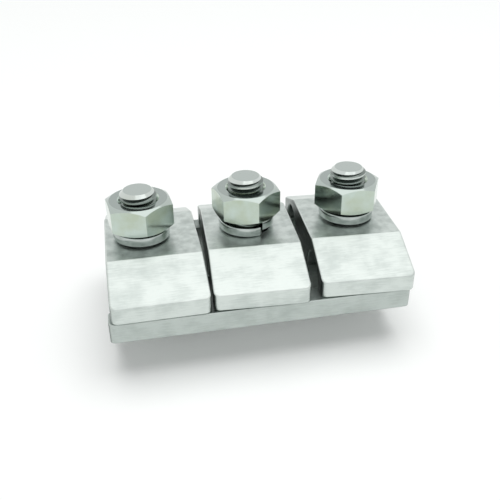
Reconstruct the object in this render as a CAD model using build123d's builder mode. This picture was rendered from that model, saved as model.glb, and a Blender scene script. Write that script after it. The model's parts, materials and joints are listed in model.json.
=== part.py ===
"""Parallel groove clamp for two overhead conductors, with three bolted keepers on one base plate.

Frame: +X runs along the conductors, +Z up the bolts, and the origin is the centre of the middle
bolt head's lower face, on which the clamp stands. All sizes are in millimetres.
"""

import os
from math import cos, pi, radians, sin, tan

from build123d import *

# Spacing along the clamp: the keepers set the bolts apart, and the bolts set the base plate's length
keeper_length = 26.0
keeper_gap = 4.0
base_end_margin = 11.0
bolt_spacing = keeper_length + keeper_gap
base_length = 2 * (bolt_spacing + base_end_margin)

# Base plate, an extruded length with two conductor grooves and a channel for the bolt heads
body_width = 54.0
base_height = 12.5
base_lip = 5.6
head_channel_depth = 2.0
head_side_play = 0.2
base_hole_radius = 5.5

# Keepers, three short lengths that bridge both grooves
keeper_height = 10.6
keeper_lip = 4.8
keeper_hole_radius = 6.0
keeper_shifts = (2.6, 0.6, -0.1)
keeper_hole_offsets = (-1.8, 0.0, 0.0)
keeper_yaws = (0.5, -2.7, -3.2)

# Profile that the base plate and the keepers share
crown_width = 25.0
groove_spread = 30.0
groove_radius = 6.0
keeper_groove_relief = 0.8
corner_round = 1.8
break_round = 0.9
end_round = 0.5
hole_edge_break = 0.4

# Fasteners, M10 with the older 17 mm hexagon
bolt_radius = 5.0
bolt_tip_chamfer = 1.1
bolt_projections = (2.7, 3.3, 3.6)
across_flats = 17.0
head_height = 7.0
nut_height = 8.0
nut_angles = (38.0, 41.0, 3.0)
thread_clearance = 0.05
nut_countersink = 0.7
hex_face_share = 0.94
hex_chamfer_angle = 30.0

# Split spring washers, coiled left-handed
washer_bore_radius = 5.3
washer_section = 2.6
washer_rises = (0.9, 1.5, 1.1)
washer_gap_width = 0.6
washer_gap_angles = (100.0, -70.0, 60.0)
washer_edge_round = 0.3
seat_gap = 0.05

# Limits for picking out edges and faces
match_tolerance = 0.01
bend_search = 1.0
near_parallel = 0.9
cutter_margin = 1.0

# Levels and places that follow from the sizes above
stations = (0, 1, 2)
side_names = ("left", "middle", "right")
bolt_x = tuple((i - 1) * bolt_spacing for i in stations)
seat_z = head_height
under_z = seat_z - head_channel_depth
parting_z = under_z + base_height
crown_z = parting_z + keeper_height
corner_radius = across_flats / 2 / cos(radians(30))


def nut_foot(i):
    """Height of the lower face of nut i, which rests on the high end of its spring washer."""
    return crown_z + washer_section + washer_rises[i] + 2 * seat_gap


def half_section(lip_z, flat_z, radius):
    """One half of the clamp seen end-on, from the parting face out to its flat crown."""
    half_width, half_crown = body_width / 2, crown_width / 2
    with BuildSketch() as half:
        with BuildLine():
            Polyline(
                (-half_width, parting_z),
                (-half_width, lip_z),
                (-half_crown, flat_z),
                (half_crown, flat_z),
                (half_width, lip_z),
                (half_width, parting_z),
                close=True,
            )
        make_face()
        with Locations((-groove_spread / 2, parting_z), (groove_spread / 2, parting_z)):
            Circle(radius, mode=Mode.SUBTRACT)
    return half.sketch


def end_plane(centre_x, yaw, along):
    """Plane across a part that is turned by yaw about its centre, at a distance along it from there."""
    forward = (cos(radians(yaw)), sin(radians(yaw)))
    origin = (centre_x + along * forward[0], along * forward[1], 0)
    return Plane(origin=origin, x_dir=(-forward[1], forward[0], 0), z_dir=(*forward, 0))


def round_bar(part, flat_z):
    """Rounds a cut length's four upright corners and the two bends beside its crown."""
    upright = part.edges().filter_by(Axis.Z)
    corners = upright.filter_by(lambda e: abs(e.center().Y) > groove_spread / 2)
    fillet(corners, corner_round)
    straight = part.edges().filter_by(GeomType.LINE)
    long_edges = straight.filter_by(lambda e: abs(e.tangent_at(0.5).X) > near_parallel)
    at_crown = long_edges.filter_by(lambda e: abs(e.center().Z - flat_z) < match_tolerance)
    bends = at_crown.filter_by(lambda e: abs(abs(e.center().Y) - crown_width / 2) < bend_search)
    fillet(bends, break_round)


def make_base_plate():
    """Base plate: both grooves, the bolt holes and the channel that stops the heads turning."""
    with BuildPart() as base_plate:
        with BuildSketch(end_plane(0, 0, -base_length / 2)):
            add(half_section(parting_z - base_lip, under_z, groove_radius))
            with Locations((0, under_z)):
                Rectangle(
                    across_flats + 2 * head_side_play, 2 * head_channel_depth, mode=Mode.SUBTRACT
                )
        extrude(amount=base_length)
        round_bar(base_plate, under_z)
        ends = base_plate.faces().filter_by(Axis.X)
        fillet(ends.edges(), end_round)
        with Locations(*[(x, 0, parting_z) for x in bolt_x]):
            Hole(base_hole_radius)
    base_plate.part.label = "base_plate"
    return base_plate.part


def make_keeper(i):
    """Keeper i, which sits a little off its bolt and a little turned, as its loose hole allows."""
    centre_x = bolt_x[i] + keeper_shifts[i]
    with BuildPart() as keeper:
        with BuildSketch(end_plane(centre_x, keeper_yaws[i], -keeper_length / 2)):
            add(half_section(parting_z + keeper_lip, crown_z, groove_radius + keeper_groove_relief))
        extrude(amount=keeper_length)
        round_bar(keeper, crown_z)
        ends = keeper.faces().filter_by(
            lambda f: f.is_planar and abs(f.normal_at().X) > near_parallel
        )
        fillet(ends.edges(), end_round)
        with Locations((centre_x + keeper_hole_offsets[i], 0, crown_z)):
            Hole(keeper_hole_radius)
        rims = keeper.edges().filter_by(GeomType.CIRCLE).filter_by(
            lambda e: abs(e.radius - keeper_hole_radius) < match_tolerance
        )
        chamfer(rims, hole_edge_break)
    keeper.part.label = f"keeper_{side_names[i]}"
    return keeper.part


def corner_cut(foot_z, height, low, high):
    """Half of the turned form that a hexagon is cut to, which takes its corners off low, high or both."""
    face_radius = across_flats / 2 * hex_face_share
    wide = corner_radius + cutter_margin
    drop = (wide - face_radius) * tan(radians(hex_chamfer_angle))
    top_z = foot_z + height
    foot = [(face_radius, foot_z), (wide, foot_z + drop)] if low else [(wide, foot_z)]
    head = [(wide, top_z - drop), (face_radius, top_z)] if high else [(wide, top_z)]
    with BuildSketch() as half:
        with BuildLine():
            Polyline((0, foot_z), *foot, *head, (0, top_z), close=True)
        make_face()
    return half.sketch


def make_bolt(i):
    """Hexagon bolt i: its head's flats lie along the base plate's channel."""
    tip_z = nut_foot(i) + nut_height + bolt_projections[i]
    shaft = Axis((bolt_x[i], 0, 0), (0, 0, 1))
    section = Plane(origin=(bolt_x[i], 0, 0), x_dir=(1, 0, 0), z_dir=(0, -1, 0))
    with BuildPart() as bolt:
        with BuildSketch(Plane(origin=(bolt_x[i], 0, 0))):
            RegularPolygon(across_flats / 2, 6, major_radius=False)
        extrude(amount=head_height)
        with BuildSketch(section):
            add(corner_cut(0, head_height, low=True, high=False))
        revolve(axis=shaft, mode=Mode.INTERSECT)
        with BuildSketch(section):
            with BuildLine():
                Polyline(
                    (0, head_height / 2),
                    (bolt_radius, head_height / 2),
                    (bolt_radius, tip_z - bolt_tip_chamfer),
                    (bolt_radius - bolt_tip_chamfer, tip_z),
                    (0, tip_z),
                    close=True,
                )
            make_face()
        revolve(axis=shaft)
    bolt.part.label = f"bolt_{side_names[i]}"
    return bolt.part


def make_nut(i):
    """Hexagon nut i, chamfered on both faces, bored for a running fit on its bolt."""
    foot_z = nut_foot(i)
    top_z = foot_z + nut_height
    shaft = Axis((bolt_x[i], 0, 0), (0, 0, 1))
    section = Plane(origin=(bolt_x[i], 0, 0), x_dir=(1, 0, 0), z_dir=(0, -1, 0))
    bore = bolt_radius + thread_clearance
    mouth = bore + nut_countersink
    with BuildPart() as nut:
        with BuildSketch(Plane(origin=(bolt_x[i], 0, foot_z))):
            RegularPolygon(across_flats / 2, 6, major_radius=False, rotation=nut_angles[i])
        extrude(amount=nut_height)
        with BuildSketch(section):
            add(corner_cut(foot_z, nut_height, low=True, high=True))
        revolve(axis=shaft, mode=Mode.INTERSECT)
        with BuildSketch(section):
            with BuildLine():
                Polyline(
                    (0, foot_z),
                    (mouth, foot_z),
                    (bore, foot_z + nut_countersink),
                    (bore, top_z - nut_countersink),
                    (mouth, top_z),
                    (0, top_z),
                    close=True,
                )
            make_face()
        revolve(axis=shaft, mode=Mode.SUBTRACT)
    nut.part.label = f"nut_{side_names[i]}"
    return nut.part


def make_spring_washer(i):
    """Split spring washer i: a square bar coiled left-handed, its low end on the keeper."""
    coil_radius = washer_bore_radius + washer_section / 2
    gap_share = washer_gap_width / (2 * pi * coil_radius)
    low_z = crown_z + seat_gap + washer_section / 2
    with BuildPart() as washer:
        with BuildLine(Plane(origin=(bolt_x[i], 0, low_z)).rotated((0, 0, washer_gap_angles[i]))):
            coil = Helix(
                pitch=washer_rises[i] / (1 - gap_share),
                height=washer_rises[i],
                radius=coil_radius,
                lefthand=True,
            )
        with BuildSketch(Plane(origin=coil @ 0, z_dir=coil % 0, x_dir=(0, 0, 1))):
            RectangleRounded(washer_section, washer_section, washer_edge_round)
        sweep(path=coil, is_frenet=True)
    washer.part.label = f"spring_washer_{side_names[i]}"
    return washer.part


os.makedirs("parts", exist_ok=True)
pieces = [make_base_plate()]
for station in stations:
    pieces += [
        make_keeper(station),
        make_bolt(station),
        make_spring_washer(station),
        make_nut(station),
    ]
for piece in pieces:
    export_step(piece, f"parts/{piece.label}.step")
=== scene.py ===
"""Looks of the parallel groove clamp: aluminium extrusions, zinc-plated bolts and a pale floor."""

import json
from math import radians

import bpy
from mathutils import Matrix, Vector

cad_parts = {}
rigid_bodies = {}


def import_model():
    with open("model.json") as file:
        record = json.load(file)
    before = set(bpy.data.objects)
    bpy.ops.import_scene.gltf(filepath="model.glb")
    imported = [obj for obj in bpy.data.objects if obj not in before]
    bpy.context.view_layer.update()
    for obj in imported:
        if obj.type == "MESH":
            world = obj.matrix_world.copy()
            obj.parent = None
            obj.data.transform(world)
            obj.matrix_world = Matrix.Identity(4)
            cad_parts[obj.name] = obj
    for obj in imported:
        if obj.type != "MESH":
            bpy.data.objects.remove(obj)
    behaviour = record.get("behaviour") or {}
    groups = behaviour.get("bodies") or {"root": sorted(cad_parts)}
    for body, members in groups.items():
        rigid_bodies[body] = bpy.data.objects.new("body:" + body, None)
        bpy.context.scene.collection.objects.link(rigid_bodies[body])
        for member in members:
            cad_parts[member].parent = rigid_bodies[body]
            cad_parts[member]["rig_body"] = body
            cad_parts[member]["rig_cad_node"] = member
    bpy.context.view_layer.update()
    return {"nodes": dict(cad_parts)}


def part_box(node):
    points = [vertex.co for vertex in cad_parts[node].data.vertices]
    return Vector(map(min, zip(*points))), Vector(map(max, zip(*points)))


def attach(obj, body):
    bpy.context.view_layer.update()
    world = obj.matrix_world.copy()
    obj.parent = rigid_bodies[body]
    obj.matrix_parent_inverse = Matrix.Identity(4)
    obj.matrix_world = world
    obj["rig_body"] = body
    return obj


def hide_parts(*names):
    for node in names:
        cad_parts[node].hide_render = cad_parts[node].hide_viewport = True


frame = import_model()

MM = 0.001
STATIONS = ("left", "middle", "right")


def tint(hex_value):
    """An sRGB hex value as linear red, green, blue and alpha."""
    parts = [int(hex_value[i : i + 2], 16) / 255 for i in (1, 3, 5)]
    return [p / 12.92 if p <= 0.04045 else ((p + 0.055) / 1.055) ** 2.4 for p in parts] + [1.0]


def node(tree, kind, settings=None, values=None, links=None, stops=()):
    """Adds one node with its settings, socket values, incoming links and colour stops."""
    made = tree.nodes.new(kind)
    for name, value in (settings or {}).items():
        setattr(made, name, value)
    for name, value in (values or {}).items():
        made.inputs[name].default_value = value
    for name, source in (links or {}).items():
        tree.links.new(source, made.inputs[name])
    for number, (place, colour) in enumerate(stops):
        elements = made.color_ramp.elements
        if number == len(elements):
            elements.new(place)
        elements[number].position = place
        elements[number].color = colour
    return made


def fresh_material(name):
    """An empty material with its node tree."""
    material = bpy.data.materials.new(name)
    material.use_nodes = True
    material.node_tree.nodes.clear()
    return material, material.node_tree


def grey(value):
    """A linear grey as red, green, blue and alpha."""
    return (value, value, value, 1.0)


def per_metre(size_mm):
    """Noise scale whose blotches are about this many millimetres across."""
    return 1 / (size_mm * MM)


# How far a finish strays to the smoother and to the rougher side, and how deep its marks are
ALUMINIUM_SMOOTHER = 0.10
ALUMINIUM_ROUGHER = 0.14
DIE_LINE_DEPTH = 0.06 * MM
ZINC_SMOOTHER = 0.04
ZINC_ROUGHER = 0.08
PLATING_RIPPLE = 0.02 * MM


def extruded_aluminium(name, pale, dull, crown_shade_pale, crown_shade_dull, cut_end_shade, roughness):
    """Extruded aluminium, cut to length with a saw and tumbled. The side faces carry soft grey
    smudges, streaks and short scratches at random. Faces that point straight up are painted
    darker in random blotches, as painted shade on the flat crown. The cut ends are painted
    darker still, as painted shade in the gaps between the pieces, streaked with the marks of the
    saw. Die lines and saw marks are drawn coarser than real ones, so that they show."""
    material, tree = fresh_material(name)
    spot = node(tree, "ShaderNodeTexCoord")
    place = spot.outputs["Object"]
    blotches = node(
        tree,
        "ShaderNodeTexNoise",
        values={"Scale": per_metre(7), "Detail": 4.0, "Roughness": 0.55},
        links={"Vector": place},
    )
    crown_blotches = node(
        tree,
        "ShaderNodeTexNoise",
        values={"Scale": per_metre(3.5), "Detail": 5.0, "Roughness": 0.55},
        links={"Vector": place},
    )
    grain = node(
        tree,
        "ShaderNodeTexNoise",
        values={"Scale": per_metre(0.9), "Detail": 4.0, "Roughness": 0.7},
        links={"Vector": place},
    )
    drawn = node(
        tree,
        "ShaderNodeMapping",
        values={"Scale": (0.10, 1.0, 1.0)},
        links={"Vector": place},
    )
    lines = node(
        tree,
        "ShaderNodeTexNoise",
        values={"Scale": per_metre(0.35), "Detail": 2.0},
        links={"Vector": drawn.outputs["Vector"]},
    )
    smeared = node(
        tree,
        "ShaderNodeMath",
        settings={"operation": "MULTIPLY"},
        values={1: 0.65},
        links={0: blotches.outputs["Fac"]},
    )
    streaked = node(
        tree,
        "ShaderNodeMath",
        settings={"operation": "MULTIPLY_ADD"},
        values={1: 0.35},
        links={0: lines.outputs["Fac"], 2: smeared.outputs[0]},
    )
    smudged = node(
        tree,
        "ShaderNodeValToRGB",
        links={"Fac": streaked.outputs[0]},
        stops=[(0.36, tint(dull)), (0.56, tint(pale))],
    )
    # Painted shade: faces that point straight up take these darker crown tones, in random
    # blotches.
    crown = node(
        tree,
        "ShaderNodeValToRGB",
        links={"Fac": crown_blotches.outputs["Fac"]},
        stops=[(0.36, tint(crown_shade_dull)), (0.62, tint(crown_shade_pale))],
    )
    stroke = node(
        tree,
        "ShaderNodeMapping",
        values={"Scale": (1.0, 0.08, 1.0)},
        links={"Vector": place},
    )
    saw = node(
        tree,
        "ShaderNodeTexNoise",
        values={"Scale": per_metre(0.5), "Detail": 3.0, "Roughness": 0.6},
        links={"Vector": stroke.outputs["Vector"]},
    )
    # Painted shade: the cut ends take these dark tones, for the shade in the gaps between the
    # pieces, with saw marks.
    cut_face_shade = node(
        tree,
        "ShaderNodeValToRGB",
        links={"Fac": saw.outputs["Fac"]},
        stops=[(0.15, tint(cut_end_shade)), (0.95, tint(crown_shade_dull))],
    )
    facing = node(tree, "ShaderNodeSeparateXYZ", links={"Vector": spot.outputs["Normal"]})
    upward = node(
        tree,
        "ShaderNodeValToRGB",
        links={"Fac": facing.outputs["Z"]},
        stops=[(0.955, grey(0.0)), (0.985, grey(1.0))],
    )
    sideways = node(
        tree, "ShaderNodeMath", settings={"operation": "ABSOLUTE"}, links={0: facing.outputs["X"]}
    )
    endways = node(
        tree,
        "ShaderNodeValToRGB",
        links={"Fac": sideways.outputs[0]},
        stops=[(0.70, grey(0.0)), (0.92, grey(1.0))],
    )
    topped = node(
        tree,
        "ShaderNodeMix",
        settings={"data_type": "RGBA"},
        links={0: upward.outputs["Color"], 6: smudged.outputs["Color"], 7: crown.outputs["Color"]},
    )
    coloured = node(
        tree,
        "ShaderNodeMix",
        settings={"data_type": "RGBA"},
        links={0: endways.outputs["Color"], 6: topped.outputs[2], 7: cut_face_shade.outputs["Color"]},
    )
    rough = node(
        tree,
        "ShaderNodeMapRange",
        values={
            "To Min": roughness - ALUMINIUM_SMOOTHER,
            "To Max": roughness + ALUMINIUM_ROUGHER,
        },
        links={"Value": grain.outputs["Fac"]},
    )
    relief = node(
        tree,
        "ShaderNodeMath",
        settings={"operation": "ADD"},
        links={0: lines.outputs["Fac"], 1: grain.outputs["Fac"]},
    )
    bump = node(
        tree,
        "ShaderNodeBump",
        values={"Strength": 0.30, "Distance": DIE_LINE_DEPTH},
        links={"Height": relief.outputs[0]},
    )
    shader = node(
        tree,
        "ShaderNodeBsdfPrincipled",
        values={"Metallic": 1.0},
        links={
            "Base Color": coloured.outputs[2],
            "Roughness": rough.outputs["Result"],
            "Normal": bump.outputs["Normal"],
        },
    )
    node(tree, "ShaderNodeOutputMaterial", links={"Surface": shader.outputs["BSDF"]})
    return material


def bright_zinc(name, plain, tinged, ends, flanks, roughness):
    """Bright zinc plating: a clear reflection with a faint yellow-green passivation in patches.
    Flat end faces and the slanted faces of chamfers and threads take tones of their own by the
    way they face, which is painted light: painted shade on nut tops, nut chamfers, bolt tips and
    bolt threads, and a painted highlight on the washers."""
    material, tree = fresh_material(name)
    spot = node(tree, "ShaderNodeTexCoord")
    place = spot.outputs["Object"]
    patches = node(
        tree,
        "ShaderNodeTexNoise",
        values={"Scale": per_metre(6), "Detail": 3.0},
        links={"Vector": place},
    )
    grain = node(
        tree,
        "ShaderNodeTexNoise",
        values={"Scale": per_metre(1.2), "Detail": 3.0},
        links={"Vector": place},
    )
    colour = node(
        tree,
        "ShaderNodeValToRGB",
        links={"Fac": patches.outputs["Fac"]},
        stops=[(0.40, tint(plain)), (0.64, tint(tinged))],
    )
    facing = node(tree, "ShaderNodeSeparateXYZ", links={"Vector": spot.outputs["Normal"]})
    upright = node(
        tree, "ShaderNodeMath", settings={"operation": "ABSOLUTE"}, links={0: facing.outputs["Z"]}
    )
    slanted = node(
        tree,
        "ShaderNodeValToRGB",
        links={"Fac": upright.outputs[0]},
        stops=[(0.74, grey(0.0)), (0.80, grey(1.0)), (0.92, grey(1.0)), (0.96, grey(0.0))],
    )
    flat = node(
        tree,
        "ShaderNodeValToRGB",
        links={"Fac": upright.outputs[0]},
        stops=[(0.94, grey(0.0)), (0.985, grey(1.0))],
    )
    # Painted light: slanted faces of chamfers and threads take the flanks tone.
    edged = node(
        tree,
        "ShaderNodeMix",
        settings={"data_type": "RGBA"},
        values={7: tint(flanks)},
        links={0: slanted.outputs["Color"], 6: colour.outputs["Color"]},
    )
    # Painted light: flat end faces take the ends tone.
    plated = node(
        tree,
        "ShaderNodeMix",
        settings={"data_type": "RGBA"},
        values={7: tint(ends)},
        links={0: flat.outputs["Color"], 6: edged.outputs[2]},
    )
    rough = node(
        tree,
        "ShaderNodeMapRange",
        values={"To Min": roughness - ZINC_SMOOTHER, "To Max": roughness + ZINC_ROUGHER},
        links={"Value": grain.outputs["Fac"]},
    )
    bump = node(
        tree,
        "ShaderNodeBump",
        values={"Strength": 0.12, "Distance": PLATING_RIPPLE},
        links={"Height": grain.outputs["Fac"]},
    )
    shader = node(
        tree,
        "ShaderNodeBsdfPrincipled",
        values={"Metallic": 1.0},
        links={
            "Base Color": plated.outputs[2],
            "Roughness": rough.outputs["Result"],
            "Normal": bump.outputs["Normal"],
        },
    )
    node(tree, "ShaderNodeOutputMaterial", links={"Surface": shader.outputs["BSDF"]})
    return material


# Each finish gives the side tones pale and dull, the painted shade of the crown pale and dull, and
# the painted shade of the cut ends.
base_finish = extruded_aluminium(
    "tumbled_aluminium_base", "#BAC2BE", "#A9B1AD", "#A0A9A5", "#858E8A", "#5C6460", 0.38
)
keeper_finish = extruded_aluminium(
    "tumbled_aluminium_keeper", "#D1D8D4", "#BDC5C1", "#CBD3CF", "#AEB7B3", "#4C5450", 0.34
)
# Nuts: darker flat tops and chamfers, painted shade.
nut_finish = bright_zinc("bright_zinc_nut", "#BFCCC4", "#B5C0AF", "#9CA6A2", "#B2BCB7", 0.13)
# Bolts: darker flat tips and dark thread flanks, painted shade in the threads.
bolt_finish = bright_zinc("bright_zinc_bolt", "#CBD2CF", "#C4CBC4", "#AFB8B4", "#7A827E", 0.15)
# Washers: brighter flat and slanted faces, painted highlight.
washer_finish = bright_zinc("bright_zinc_washer", "#BCC3C0", "#9AA29E", "#C6CDCA", "#C6CDCA", 0.09)


def finish_for(name):
    """The finish of a CAD node, by the start of its name."""
    if name.startswith("keeper"):
        return keeper_finish
    if name.startswith("base"):
        return base_finish
    if name.startswith("spring"):
        return washer_finish
    return nut_finish if name.startswith("nut") else bolt_finish


for name, piece in frame["nodes"].items():
    piece.data.materials.clear()
    piece.data.materials.append(finish_for(name))

# Threaded bolts: each bolt takes the place of its plain one, with an M10 thread cut up to its tip
BOLT_RADIUS = 5.0 * MM
THREAD_PITCH = 1.5 * MM
THREAD_HALF_WIDTH = 0.70 * MM
THREAD_START = 16.0 * MM
THREAD_TURNS = 18
THREAD_STEPS = 36
THREAD_SMOOTH_BELOW = radians(28)
GROOVE_INSET = 0.10 * MM
WELD = 0.001 * MM


def deselect():
    """Leaves nothing selected."""
    bpy.ops.object.select_all(action="DESELECT")


def activate(piece):
    """Leaves one piece selected and active."""
    deselect()
    piece.select_set(True)
    bpy.context.view_layer.objects.active = piece


def cut_groove():
    """A three-sided bar coiled right-handed round the Z axis: the groove between two crests."""
    deselect()
    bpy.ops.mesh.primitive_circle_add(
        vertices=3,
        radius=THREAD_HALF_WIDTH * 2 / 3**0.5,
        fill_type="NOTHING",
        location=(BOLT_RADIUS - GROOVE_INSET, 0, THREAD_START),
        rotation=(radians(90), radians(-90), 0),
    )
    groove = bpy.context.object
    groove.name = "thread_groove"
    bpy.ops.object.transform_apply(location=True, rotation=True, scale=True)
    coil = groove.modifiers.new("coil", "SCREW")
    coil.axis = "Z"
    coil.screw_offset = THREAD_PITCH
    coil.iterations = THREAD_TURNS
    coil.steps = coil.render_steps = THREAD_STEPS
    bpy.ops.object.modifier_apply(modifier=coil.name)
    bpy.ops.object.mode_set(mode="EDIT")
    bpy.ops.mesh.select_all(action="SELECT")
    bpy.ops.mesh.remove_doubles(threshold=WELD)
    bpy.ops.mesh.fill_holes(sides=4)
    bpy.ops.mesh.select_all(action="SELECT")
    bpy.ops.mesh.normals_make_consistent(inside=False)
    bpy.ops.object.mode_set(mode="OBJECT")
    return groove


def thread_bolt(station, groove):
    """Copies a plain bolt, welds its faces together and cuts the groove into its shank."""
    plain = frame["nodes"][f"bolt_{station}"]
    low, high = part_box(f"bolt_{station}")
    bolt = plain.copy()
    bolt.data = plain.data.copy()
    bolt.parent = None
    bolt.name = f"threaded_bolt_{station}"
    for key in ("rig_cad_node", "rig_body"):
        if key in bolt:
            del bolt[key]
    bpy.context.scene.collection.objects.link(bolt)
    activate(bolt)
    bpy.ops.mesh.customdata_custom_splitnormals_clear()
    bpy.ops.object.mode_set(mode="EDIT")
    bpy.ops.mesh.select_all(action="SELECT")
    bpy.ops.mesh.remove_doubles(threshold=WELD)
    bpy.ops.object.mode_set(mode="OBJECT")
    cutter = groove.copy()
    cutter.data = groove.data.copy()
    bpy.context.scene.collection.objects.link(cutter)
    cutter.location = ((low.x + high.x) / 2, 0, 0)
    cut = bolt.modifiers.new("thread", "BOOLEAN")
    cut.operation = "DIFFERENCE"
    cut.solver = "EXACT"
    cut.object = cutter
    bpy.ops.object.modifier_apply(modifier=cut.name)
    bpy.data.objects.remove(cutter)
    activate(bolt)
    bpy.ops.object.shade_smooth_by_angle(angle=THREAD_SMOOTH_BELOW)
    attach(bolt, "base")
    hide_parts(f"bolt_{station}")


groove = cut_groove()
for station in STATIONS:
    thread_bolt(station, groove)
bpy.data.objects.remove(groove)

# Spring washers: each is coiled left-handed from its low end, with its split where the nut
# left it. The angles are in degrees from +X.
WASHER_SECTION = 2.6 * MM
WASHER_MID_RADIUS = 6.6 * MM
WASHER_CORNER = 0.3 * MM
WASHER_CORNER_SEGMENTS = 3
WASHER_STEPS = 90
WASHER_SMOOTH_BELOW = radians(40)
WASHER_SPLIT = 5.0
SPLIT_ANGLES = {"left": 100, "middle": -70, "right": 60}


def coil_washer(station):
    """Sweeps a round-cornered square round the bolt, less the split, and closes its two ends."""
    low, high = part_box(f"spring_washer_{station}")
    rise = high.z - low.z - WASHER_SECTION
    deselect()
    bpy.ops.mesh.primitive_plane_add(
        size=WASHER_SECTION,
        location=(WASHER_MID_RADIUS, 0, low.z + WASHER_SECTION / 2),
        rotation=(radians(90), 0, 0),
    )
    washer = bpy.context.object
    washer.name = f"split_washer_{station}"
    bpy.ops.object.transform_apply(location=True, rotation=True, scale=True)
    bpy.ops.object.mode_set(mode="EDIT")
    bpy.ops.mesh.select_all(action="SELECT")
    bpy.ops.mesh.bevel(offset=WASHER_CORNER, segments=WASHER_CORNER_SEGMENTS, affect="VERTICES")
    bpy.ops.mesh.delete(type="ONLY_FACE")
    bpy.ops.object.mode_set(mode="OBJECT")
    coil = washer.modifiers.new("coil", "SCREW")
    coil.axis = "Z"
    coil.angle = radians(360 - WASHER_SPLIT)
    coil.screw_offset = -rise
    coil.steps = coil.render_steps = WASHER_STEPS
    bpy.ops.object.modifier_apply(modifier=coil.name)
    bpy.ops.object.mode_set(mode="EDIT")
    bpy.ops.mesh.select_all(action="SELECT")
    bpy.ops.mesh.fill_holes(sides=0)
    bpy.ops.mesh.select_all(action="SELECT")
    bpy.ops.mesh.normals_make_consistent(inside=False)
    bpy.ops.object.mode_set(mode="OBJECT")
    washer.location = ((low.x + high.x) / 2, 0, rise)
    washer.rotation_euler = (0, 0, radians(SPLIT_ANGLES[station] + WASHER_SPLIT))
    activate(washer)
    bpy.ops.object.transform_apply(location=True, rotation=True, scale=True)
    bpy.ops.object.shade_smooth_by_angle(angle=WASHER_SMOOTH_BELOW)
    washer.data.materials.append(washer_finish)
    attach(washer, f"washer_{station}")
    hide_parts(f"spring_washer_{station}")


for station in STATIONS:
    coil_washer(station)

# Floor, backdrop and light: a matt pale floor, which shows nearly white and keeps a soft shadow,
# in plain white surroundings
FLOOR_SIZE = 6.0
FLOOR_LIFT = 0.17
ROOM_LIGHT = 0.35


def background_rays(tree):
    """One where the eye, metal or glass looks at the background, nought for all other rays."""
    rays = node(tree, "ShaderNodeLightPath")
    seen = node(
        tree,
        "ShaderNodeMath",
        settings={"operation": "MAXIMUM"},
        links={0: rays.outputs["Is Camera Ray"], 1: rays.outputs["Is Glossy Ray"]},
    )
    shown = node(
        tree,
        "ShaderNodeMath",
        settings={"operation": "MAXIMUM"},
        links={0: seen.outputs[0], 1: rays.outputs["Is Transmission Ray"]},
    )
    return shown.outputs[0]


deselect()
bpy.ops.mesh.primitive_plane_add(size=FLOOR_SIZE, location=(0, 0, 0))
floor = bpy.context.object
floor.name = "floor"
floor_material, tree = fresh_material("pale_floor")
shown = background_rays(tree)
matte = node(tree, "ShaderNodeBsdfDiffuse", values={"Color": tint("#E9EBEA")})
glow = node(
    tree, "ShaderNodeEmission", values={"Color": tint("#FFFFFF"), "Strength": FLOOR_LIFT}
)
lifted = node(tree, "ShaderNodeAddShader", links={0: matte.outputs[0], 1: glow.outputs[0]})
surface = node(
    tree, "ShaderNodeMixShader", links={0: shown, 1: matte.outputs[0], 2: lifted.outputs[0]}
)
node(tree, "ShaderNodeOutputMaterial", links={"Surface": surface.outputs[0]})
floor.data.materials.append(floor_material)

world = bpy.data.worlds.new("studio")
bpy.context.scene.world = world
world.use_nodes = True
sky = world.node_tree
sky.nodes.clear()
shown = background_rays(sky)
soft = node(
    sky, "ShaderNodeBackground", values={"Color": tint("#FFFFFF"), "Strength": ROOM_LIGHT}
)
plain = node(sky, "ShaderNodeBackground", values={"Color": tint("#FFFFFF"), "Strength": 1.0})
choice = node(
    sky, "ShaderNodeMixShader", links={0: shown, 1: soft.outputs[0], 2: plain.outputs[0]}
)
node(sky, "ShaderNodeOutputWorld", links={"Surface": choice.outputs[0]})


def lamp(name, kind, place, power, size, turn, mirrored):
    """One soft light, placed in metres and turned in degrees. A sun's size is its angle in
    degrees, and mirrored says whether metal shows the light itself."""
    light = bpy.data.lights.new(name, kind)
    light.energy = power
    if kind == "SUN":
        light.angle = radians(size)
    else:
        light.size = size
    holder = bpy.data.objects.new(name, light)
    holder.location = place
    holder.rotation_euler = [radians(a) for a in turn]
    holder.visible_glossy = mirrored
    bpy.context.scene.collection.objects.link(holder)


lamp("key_top", "SUN", (0.03, 0.07, 0.62), 1.88, 60, (-7, 4, 0), False)
lamp("soft_top", "AREA", (0.11, 0.0, 0.60), 0.52, 0.55, (0, 0, 0), True)

camera_data = bpy.data.cameras.new("camera")
camera = bpy.data.objects.new("camera", camera_data)
bpy.context.scene.collection.objects.link(camera)
camera.location = (-30.65 * MM, -163.96 * MM, 116.89 * MM)
camera.rotation_euler = (radians(59.735), radians(0.582), radians(-11.286))
camera_data.lens = 46.8
camera_data.sensor_width = 36.0
camera_data.clip_start = 0.005
bpy.context.scene.camera = camera
bpy.context.scene.view_settings.view_transform = "Standard"
